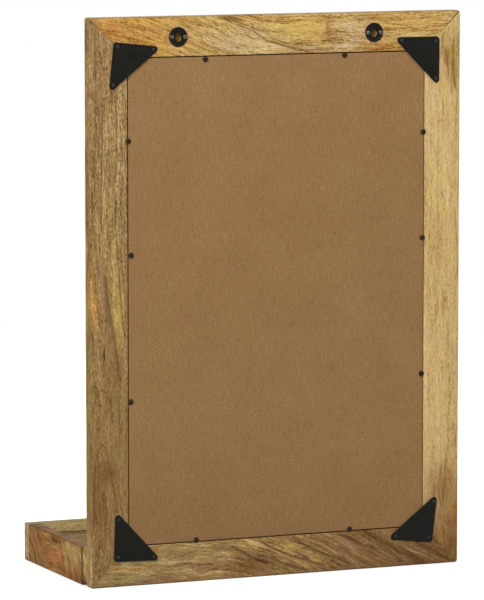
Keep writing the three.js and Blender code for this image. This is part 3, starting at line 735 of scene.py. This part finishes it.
SLICES = 150  # rings in each half of a rail
BACK_ROUND, FRONT_ROUND = 1.8, 2.4  # the arrises' usual radii
MITRE_GAP = 0.06
MITRE_OPENING = 1.5
KEYHOLE_SINK, KEYHOLE_RISE = 1.6, 3.8  # from a hanger's middle to those of its mouth and slot end
POCKET_RADIUS, POCKET_DEPTH = 5.4, 9.0
SEAT_RADIUS, SEAT_DEPTH = 3.8, 0.85
CLEAR = 1.0  # how far a cutter stands out of the face that it cuts


def rail_section(back_round, front_round):
    """Points (inset from the outer edge, depth below the back face) round a rail's section."""
    eased, sight = 0.5, 1.8
    points = arc((back_round, -back_round), back_round, 180, -90, 6)
    points += between(points[-1], (PANEL_EDGE - eased, 0), 6)
    points += arc((PANEL_EDGE - eased, -eased), eased, 90, -90, 3)
    points += [(PANEL_EDGE, -LEDGE), (GLASS_EDGE, -LEDGE), (GLASS_EDGE, -LIP), (RAIL_WIDTH, -LIP)]
    points += arc((RAIL_WIDTH - sight, -THICKNESS + sight), sight, 0, -90, 5)
    points += between(points[-1], (front_round, -THICKNESS), 7)
    points += arc((front_round, -THICKNESS + front_round), front_round, 270, -90, 6)
    points += between(points[-1], (0, -back_round), 2)
    return points


def round_corner(inset, end):
    """Moves a point near the frame's outer corner onto the rounded outline of the same inset."""
    if inset >= CORNER_RADIUS or end >= CORNER_RADIUS:
        return inset, end
    small = CORNER_RADIUS - inset
    angle = (CORNER_RADIUS - end) / small * math.pi / 4
    return CORNER_RADIUS - small * math.cos(angle), CORNER_RADIUS - small * math.sin(angle)


def rail(name, node, length, place, material, seed, chip=lambda side, inset: 0.0, cutters=()):
    """A mitred rail with softly worn edges. place turns (along, inset) into (x, z), and chip says
    how far each end stops short of the mitre."""
    rings = []
    for station in (k / SLICES for k in range(-SLICES, SLICES + 1)):
        side = 1 if station > 0 else -1
        middle = station * length / 2
        back_round = BACK_ROUND + 0.55 * wobble((middle, 0, 0), 22, seed)
        front_round = FRONT_ROUND + 0.6 * wobble((middle, 9, 0), 30, seed)
        ring = []
        for inset, depth in rail_section(back_round, front_round):
            reach = length / 2 - inset - MITRE_GAP - chip(side, inset)
            moved, end = round_corner(inset, length / 2 - abs(station) * reach)
            along = side * (length / 2 - end)
            nick = max(0.0, wobble((along, inset, depth), 3.5, seed) - 0.45)
            x, z = place(along, moved + nick * math.exp(-((inset / 2.5) ** 2)) * 0.9)
            ring.append((x, BACK + depth, z))
        rings.append(ring)
    piece(name, cut(loft(name, rings), cutters), [material], node)


def top_chip(side, inset):
    """The mitre at the top of the left stile has opened at its outer end."""
    if side > 0:
        return 0.0
    return MITRE_OPENING * math.exp(-((inset / 12) ** 2)) + 0.3 * math.exp(-((inset / 34) ** 2))


def stile_chip(side, inset):
    return top_chip(-side, inset) * 0.5


def pocket(x, z):
    """The blind pocket behind a hanger's keyhole, as a cutter."""
    outline = arc((x, z - KEYHOLE_SINK), POCKET_RADIUS, 180, 180, 16)
    outline += arc((x, z + KEYHOLE_RISE), POCKET_RADIUS, 0, 180, 16)
    return prism("pocket", outline, BACK - POCKET_DEPTH, BACK + CLEAR)


def crack(x, low, high, width, depth):
    """A thin lens-shaped slit in the back face, as a cutter."""
    rings = []
    for level, share in ((BACK + 0.5, 1.0), (BACK - depth, 0.15)):
        ring = []
        for sign in (1, -1):
            for k in range(13):
                t = k / 12 if sign > 0 else 1 - k / 12
                bulge = math.sin(math.pi * t) ** 0.8 * width / 2 * share + 0.02
                z = low + (high - low) * t
                ring.append((x + sign * bulge + 0.5 * math.sin(t * 5), level, z + sign * 0.01))
        rings.append(ring)
    return loft("crack", rings)


def seats(*numbers):
    """The shallow seats in a rail's edge under the heads of the numbered panel screws, as cutters."""
    middles = [middle_of(f"panel_screw_{number:02d}") for number in numbers]
    return [prism("seat", circle(middle, SEAT_RADIUS), BACK - SEAT_DEPTH, BACK + CLEAR)
            for middle in middles]


rail("rail_top", "frame_top_rail", 2 * HALF_WIDTH, lambda a, d: (a, HEIGHT - d), wood_top, 1,
     chip=top_chip, cutters=[pocket(*HANGERS["right"]), pocket(*HANGERS["left"]), *seats(1, 2)])
rail("rail_bottom", "frame_bottom_rail", 2 * HALF_WIDTH, lambda a, d: (a, d), wood_bottom, 2,
     cutters=seats(9, 10))
rail("stile_right", "frame_right_stile", HEIGHT, lambda a, d: (HALF_WIDTH - d, HEIGHT / 2 + a),
     wood_right, 3, cutters=[crack(231.0, 281, 298, 1.8, 5), *seats(3, 4, 5)])
rail("stile_left", "frame_left_stile", HEIGHT, lambda a, d: (d - HALF_WIDTH, HEIGHT / 2 + a),
     wood_left, 4, chip=stile_chip, cutters=seats(6, 7, 8))


# ---- Boards ----

def rounded_rectangle(half_u, half_v, radius, steps, spread):
    """Points round a rectangle with rounded corners, and some along its sides."""
    turns = enumerate(((1, 1), (-1, 1), (-1, -1), (1, -1)))
    arcs = [arc((su * (half_u - radius), sv * (half_v - radius)), radius, 90 * k, 90, steps)
            for k, (su, sv) in turns]
    points = []
    for bend, following in zip(arcs, arcs[1:] + arcs[:1]):
        points += bend + between(bend[-1], following[0], spread)
    return points


def board(name, low, high, run, arris, end_arris, materials, slot, node, seed, stations=60, cutters=()):
    """A board between two corners, with its long edges and its ends eased and lightly worn."""
    across = [axis for axis in range(3) if axis != run]
    half, middle = (high - low) / 2, (high + low) / 2
    length = 2 * half[run]
    angles = [math.radians(22.5 * k) for k in range(5)]
    places = [(end_arris * (1 - math.cos(a)), end_arris * (1 - math.sin(a))) for a in angles]
    inner = [(end_arris + (length - 2 * end_arris) * k / stations, 0.0) for k in range(1, stations)]
    rings = []
    for along, shrink in places + inner + [(length - e, shrink) for e, shrink in reversed(places)]:
        wear = 1 + 0.22 * wobble((along, seed * 3, 0), 25, seed)
        radius = max(arris * wear - shrink, arris * 0.15)
        ring = []
        for spot in rounded_rectangle(*(half[axis] - shrink for axis in across), radius, 4, 4):
            point = middle.copy()
            point[run] += along - half[run]
            for axis, value in zip(across, spot):
                point[axis] += value
            ring.append(point)
        rings.append(ring)
    mesh = loft(name, rings)
    return piece(name, cut(mesh, cutters) if cutters else mesh, materials, node)


room = Vector((PLAY, PLAY, PLAY))
low, high = FLOOR_LOW - room, FLOOR_HIGH + room
face = [(low.x, low.z), (high.x, low.z), (high.x, high.z), (low.x, high.z)]
groove = prism("groove", face, low.y, high.y)
TRAY = (
    ("front", "shelf_front_board", 0, 2.0, 1.6, wood_front, 90),
    ("right", "shelf_right_end", 1, 2.0, 0.3, wood_end_right, 60),
    ("left", "shelf_left_end", 1, 2.0, 0.3, wood_end_left, 60),
    ("batten", "shelf_batten", 0, 0.8, 0.5, wood_batten, 90),
)
for seed, (name, node, run, arris, end_arris, material, stations) in enumerate(TRAY, 1):
    board("shelf_board_" + name, *box_mm(node), run, arris, end_arris, [material], "shelf_wood", node,
          seed, stations, [groove])
board("shelf_board_floor", FLOOR_LOW, FLOOR_HIGH, 0, 0.5, 0.3, [wood_floor], "floor_wood", "shelf_floor", 5)
panel_play = Vector((0.7, 0, 0.7))
board("panel_back", PANEL_LOW + panel_play, PANEL_HIGH - panel_play, 0, 0.25, 0.25, [brown_board],
      "fibreboard", "back_panel", 6)
glass = board("glass_mirror", GLASS_LOW, GLASS_HIGH, 0, 0.4, 0.4, mirror_faces(), "mirror_glass",
              "mirror_glass", 7, stations=4)
for polygon in glass.data.polygons:
    polygon.material_index = 0 if polygon.normal.y < -0.9 else 2 if polygon.normal.y > 0.9 else 1
    polygon.use_smooth = abs(polygon.normal.y) < 0.9


# ---- Plates ----

NAIL_INSET, NAIL_TIP, NAIL_MARGIN = 5.3, 52.0, 4.3
PLATE_LEG, PLATE_ROUND, PLATE_THICKNESS, PLATE_EASE = 63.0, 3.8, 1.2, 0.28


def plate_mesh(outline, holes):
    """A flat plate from an outline and holes in X and Z, with eased edges, its foot on Y = 0."""
    curve = bpy.data.curves.new("plate_outline", "CURVE")
    curve.dimensions = "2D"
    curve.fill_mode = "BOTH"
    curve.extrude = (PLATE_THICKNESS / 2 - PLATE_EASE) / MM
    curve.bevel_depth = PLATE_EASE / MM
    curve.bevel_resolution = 3
    curve.offset = -PLATE_EASE / MM
    for loop in [outline, *holes]:
        spline = curve.splines.new("POLY")
        spline.points.add(len(loop) - 1)
        for point, (x, z) in zip(spline.points, loop):
            point.co = (x / MM, z / MM, 0, 1)
        spline.use_cyclic_u = True
    holder = add("plate_outline", curve)
    mesh = baked(holder)
    bpy.data.objects.remove(holder)
    bm = bmesh.new()
    bm.from_mesh(mesh)
    bmesh.ops.remove_doubles(bm, verts=bm.verts, dist=1e-6)
    bmesh.ops.rotate(bm, verts=bm.verts, matrix=Matrix.Rotation(math.pi / 2, 3, "X"))
    bmesh.ops.translate(bm, verts=bm.verts, vec=(0, PLATE_THICKNESS / 2 / MM, 0))
    bmesh.ops.recalc_face_normals(bm, faces=bm.faces)
    bm.to_mesh(mesh)
    bm.free()
    return mesh


def rounded_triangle(corners, radius, steps=8):
    """A closed outline through three corners, each rounded to the radius."""
    points = []
    for i, corner in enumerate(corners):
        back = (corners[i - 1] - corner).normalized()
        ahead = (corners[(i + 1) % 3] - corner).normalized()
        half = back.angle(ahead) / 2
        centre = corner + (back + ahead).normalized() * (radius / math.sin(half))
        start = corner + back * (radius / math.tan(half)) - centre
        end = corner + ahead * (radius / math.tan(half)) - centre
        points += [tuple(centre + start.slerp(end, k / steps) * radius) for k in range(steps + 1)]
    return points


for corner in CORNERS:
    spots = [Vector(middle_of(f"plate_nail_{corner}_{i}")) for i in (1, 2, 3)]
    # The nails' places give the plate's two leg directions and its square corner.
    leg = (spots[1] - spots[0]).normalized()
    turn = math.atan2(leg.y, leg.x) - math.atan2(NAIL_MARGIN - NAIL_INSET, NAIL_TIP - NAIL_INSET)
    first = Vector((math.cos(turn), math.sin(turn)))
    second = Vector((-first.y, first.x))
    origin = spots[0] - (first + second) * NAIL_INSET
    flat = rounded_triangle([Vector((0, 0)), Vector((PLATE_LEG, 0)), Vector((0, PLATE_LEG))], PLATE_ROUND)
    turned = [tuple(origin + first * x + second * z) for x, z in flat]
    mesh = plate_mesh(turned, [circle(spot, 1.2) for spot in spots])
    mesh.transform(Matrix.Translation((0, box_mm("corner_plate_" + corner)[0].y / MM, 0)))
    piece("plate_" + corner, mesh, [black_steel], "corner_plate_" + corner, sharp=40)


def hanger_mesh():
    """A pressed round hanger with a raised rim, a dished middle, a keyhole and two screw holes."""
    profile = [(0, 0.0), (11.6, 0.0), (12.0, 0.3), (12.0, 0.85), (11.75, 1.12), (11.3, 1.2), (10.7, 1.12),
               (10.1, 0.92), (9.6, 0.78), (9.0, 0.72), (5.5, 0.72), (0, 0.72)]
    mouth, slot, hole, hole_reach = 4.0, 2.3, 1.6, 8.5
    through = (-1, 3)
    meet = math.degrees(math.asin(slot / mouth))
    path = arc((0, -KEYHOLE_SINK), mouth, 90 + meet, 360 - 2 * meet, 32)
    path += arc((0, KEYHOLE_RISE), slot, 0, 180, 16)
    holes = [prism("screw_hole", circle((x, 0), hole), *through) for x in (-hole_reach, hole_reach)]
    return cut(lathe(profile, 96), [prism("keyhole", path, *through), *holes])


for side, (x, z) in HANGERS.items():
    node = "keyhole_hanger_" + side
    mesh = hanger_mesh()
    mesh.transform(Matrix.Translation(Vector((x, box_mm(node)[0].y, z)) / MM))
    piece("hanger_" + side, mesh, [black_steel], node, sharp=40)


# ---- Fasteners ----

def fastener_mesh(head_radius, head_height, shank_radius, length, recess=True):
    """A round-headed screw or nail on the Y axis, its head's foot on Y = 0."""
    profile = [(0, -length), (shank_radius * 0.5, -length + shank_radius),
               (shank_radius, -length + 3 * shank_radius), (shank_radius, 0.0), (head_radius * 0.97, 0.0)]
    for k in range(9):
        angle = math.radians(6 + 80 * k / 8)
        profile.append((head_radius * math.cos(angle), head_height * math.sin(angle)))
    mesh = lathe([*profile, (0, head_height)], 32)
    if not recess:
        return mesh
    arm, width = head_radius * 0.58, head_radius * 0.13
    star = [(arm, -width), (arm, width), (width, width), (width, arm), (-width, arm), (-width, width),
            (-arm, width), (-arm, -width), (-width, -width), (-width, -arm), (width, -arm), (width, -width)]
    rings = [[(px * s, level, pz * s) for px, pz in star]
             for level, s in ((head_height * 0.25, 0.45), (head_height + 0.5, 1.15))]
    return cut(mesh, [loft("recess", rings)])


def fasten(prefix, nodes, mesh, head_height, materials, facing=1):
    """Puts a copy of the fastener at each node, turned and tilted a little as a hand would."""
    flip = Matrix.Rotation(0 if facing > 0 else math.pi, 4, "X")
    for i, node in enumerate(nodes):
        low, high = box_mm(node)
        head = high.y - head_height if facing > 0 else low.y + head_height
        x, z = middle_of(node)
        turn = Matrix.Rotation(dice.uniform(0, math.pi), 4, "Y")
        tilt = Matrix.Rotation(math.radians(dice.uniform(-1.5, 1.5)), 4, "X")
        made = mesh.copy()
        made.transform(Matrix.Translation(Vector((x, head, z)) / MM) @ flip @ tilt @ turn)
        piece(f"{prefix}_{i + 1}", made, materials, node, sharp=35)


nail = fastener_mesh(2.2, 0.85, 0.9, 14, recess=False)
for polygon in nail.polygons:
    # A lighter ring round each nail's head: paint rubbed thin, and a painted highlight for the glint on its
    # dome.
    if polygon.center.y > 0 and 1.0 < math.hypot(polygon.center.x, polygon.center.z) * MM < 2.0:
        polygon.material_index = 1
fasten("screw_panel", [f"panel_screw_{i:02d}" for i in range(1, 11)],
       fastener_mesh(3.6, 1.85, 1.5, 12), 1.9, [browned_steel])
fasten("nail_plate", [f"plate_nail_{corner}_{i}" for corner in CORNERS for i in (1, 2, 3)],
       nail, 0.9, [black_steel, worn_steel])
fasten("screw_hanger", [f"hanger_screw_{side}_{i}" for side in SIDES for i in (1, 2)],
       fastener_mesh(2.6, 1.15, 1.3, 12), 1.2, [bright_steel])
fasten("screw_shelf", [f"shelf_screw_{i}" for i in (1, 2, 3, 4)],
       fastener_mesh(4.0, 2.15, 2.0, 25), 2.2, [bright_steel], facing=-1)

for name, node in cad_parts.items():
    if name.startswith("shelf_dowel"):
        node.data.materials.clear()
        node.data.materials.append(wood_dowel)


# ---- Floor, light and camera ----

FLOOR_RADIUS = 2600.0
FLOOR_DROP = 0.4
FLOOR_GLOW = 0.42
WORLD_LIGHT = 0.37
LAMP_AIM = Vector((0, 0, 0.35))


def add_floor():
    """A round pale floor. Where it is seen it is bright, keeps the object's shadow near it and fades
    to the world's white at its rim."""
    ring = [(x, y, -FLOOR_DROP) for x, y in circle((0, 0), FLOOR_RADIUS, 96)]
    floor = add("studio_floor", mesh_from("studio_floor", ring, [tuple(range(len(ring)))]))
    g = Skin("studio_floor")
    away = g.math("SQRT", g.x * g.x + g.y * g.y)
    rim = g.ramp(away, FLOOR_RADIUS * 0.5, FLOOR_RADIUS * 0.97)
    seen = g.seen()
    diffuse = g.node("BsdfDiffuse", {"Color": g.mix(seen, rgb(156, 156, 156), rgb(244, 244, 243))})
    glow = g.node("Emission", {"Strength": seen * (rim * (1.0 - FLOOR_GLOW) + FLOOR_GLOW)})
    total = g.node("AddShader", {0: diffuse, 1: glow})
    g.node("OutputMaterial", {0: g.node("MixShader", {0: seen * rim, 1: total, 2: glow})})
    floor.data.materials.append(g.owner)


def add_world():
    """White where it is seen, and a plain soft light on the object."""
    world = bpy.data.worlds.new("studio")
    bpy.context.scene.world = world
    g = Graph(world)
    soft, white = (g.node("Background", {"Color": (1, 1, 1, 1), "Strength": strength})
                   for strength in (WORLD_LIGHT, 1.0))
    g.node("OutputWorld", {0: g.node("MixShader", {0: g.seen(), 1: soft, 2: white})})


def add_light(name, place, size, watts):
    data = bpy.data.lights.new(name, "AREA")
    data.shape = "DISK"
    data.size = size
    data.energy = watts
    light = add(name, data)
    light.location = place
    light.rotation_euler = (LAMP_AIM - Vector(place)).to_track_quat("-Z", "Y").to_euler()


def add_camera():
    """The photograph's view: from behind, a little above and from the right-hand end."""
    azimuth, elevation, roll = (math.radians(value) for value in (156.9402, 6.4877, -0.0167))
    distance, sideways, height = 5.7541, 0.0009, 0.3336
    target = Vector((sideways * math.cos(azimuth), sideways * math.sin(azimuth), height))
    back = Vector((math.sin(azimuth) * math.cos(elevation), -math.cos(azimuth) * math.cos(elevation),
                   math.sin(elevation)))
    data = bpy.data.cameras.new("camera")
    data.sensor_width = 36
    data.lens = 273.34
    data.clip_start, data.clip_end = 0.1, 200
    camera = add("camera", data)
    camera.location = target + back * distance
    turn = (-back).to_track_quat("-Z", "Y").to_matrix() @ Matrix.Rotation(roll, 3, "Z")
    camera.rotation_euler = turn.to_euler()
    bpy.context.scene.camera = camera


add_floor()
add_world()
add_light("key", (2.3, 2.5, 2.6), 1.8, 108)
add_light("fill", (-2.4, 3.0, 2.2), 2.4, 34)
add_light("front", (-1.6, -3.0, 2.6), 2.2, 92)
add_camera()
bpy.context.scene.view_settings.view_transform = "Standard"
